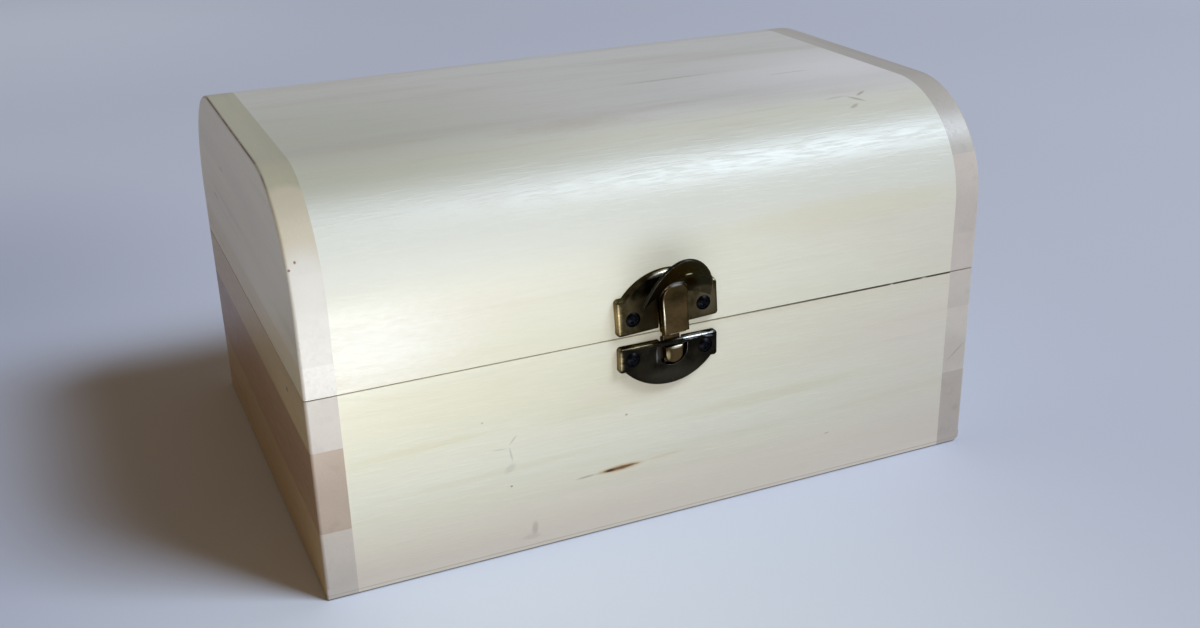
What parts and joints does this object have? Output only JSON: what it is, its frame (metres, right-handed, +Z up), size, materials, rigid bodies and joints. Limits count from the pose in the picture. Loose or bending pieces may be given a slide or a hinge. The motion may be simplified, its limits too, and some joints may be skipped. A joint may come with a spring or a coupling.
{
  "type": "keepsake box",
  "caption": "Hinged pale-wood keepsake box with a round-shouldered lid, edge-glued end panels and a sprung duckbill clasp at the front.",
  "frame": {"origin": "middle of the underside, on the surface that the box stands on", "axes": "+X along the front to the right, +Y from the front with the clasp to the back with the hinges, +Z up"},
  "size_m": [0.18, 0.1494, 0.0995],
  "materials": {
    "pale_wood": "bare pale wood, sanded to a soft satin",
    "end_wood": "bare edge-glued staves, a little warmer",
    "bronze": "antique bronze plating, rubbed on the edges",
    "clasp_brass": "antique brass plating, brighter where it is handled",
    "dark_bronze": "blackened bronze plating",
    "dark_screw": "blackened steel",
    "spring_steel": "bare spring wire"
  },
  "bodies": {
    "base": {"base_bottom": "pale_wood", "base_front": "pale_wood", "base_back": "pale_wood", "base_left_stave_1": "end_wood", "base_left_stave_2": "end_wood", "base_left_stave_3": "end_wood", "base_right_stave_1": "end_wood", "base_right_stave_2": "end_wood", "base_right_stave_3": "end_wood", "clasp_keeper": "dark_bronze", "clasp_keeper_screws": "dark_screw", "hinge_left_base_leaf": "bronze", "hinge_left_pin": "dark_screw", "hinge_right_base_leaf": "bronze", "hinge_right_pin": "dark_screw", "hinge_base_screws": "dark_screw"},
    "lid": {"lid_skin": "pale_wood", "lid_left_stave_1": "end_wood", "lid_left_stave_2": "end_wood", "lid_left_stave_3": "end_wood", "lid_right_stave_1": "end_wood", "lid_right_stave_2": "end_wood", "lid_right_stave_3": "end_wood", "clasp_plate": "bronze", "clasp_plate_screws": "dark_screw", "clasp_pin": "dark_screw", "clasp_spring": "spring_steel", "hinge_left_lid_leaf": "bronze", "hinge_right_lid_leaf": "bronze", "hinge_lid_screws": "dark_screw"},
    "lever": {"clasp_lever": "clasp_brass"}
  },
  "joints": [
    {"name": "lid_hinge", "type": "hinge", "parent": "base", "child": "lid", "pos_m": [0, 0.0676, 0.05215], "axis": [-1, 0, 0], "range_deg": [0, 105]},
    {"name": "lever_pivot", "type": "hinge", "parent": "lid", "child": "lever", "pos_m": [-0.00097, -0.0666, 0.06059], "axis": [0.9986, 0, 0.0523], "range_deg": [0, 7.5], "stiffness_Nm_per_rad": 0.05, "springref_deg": -20.05}
  ]
}
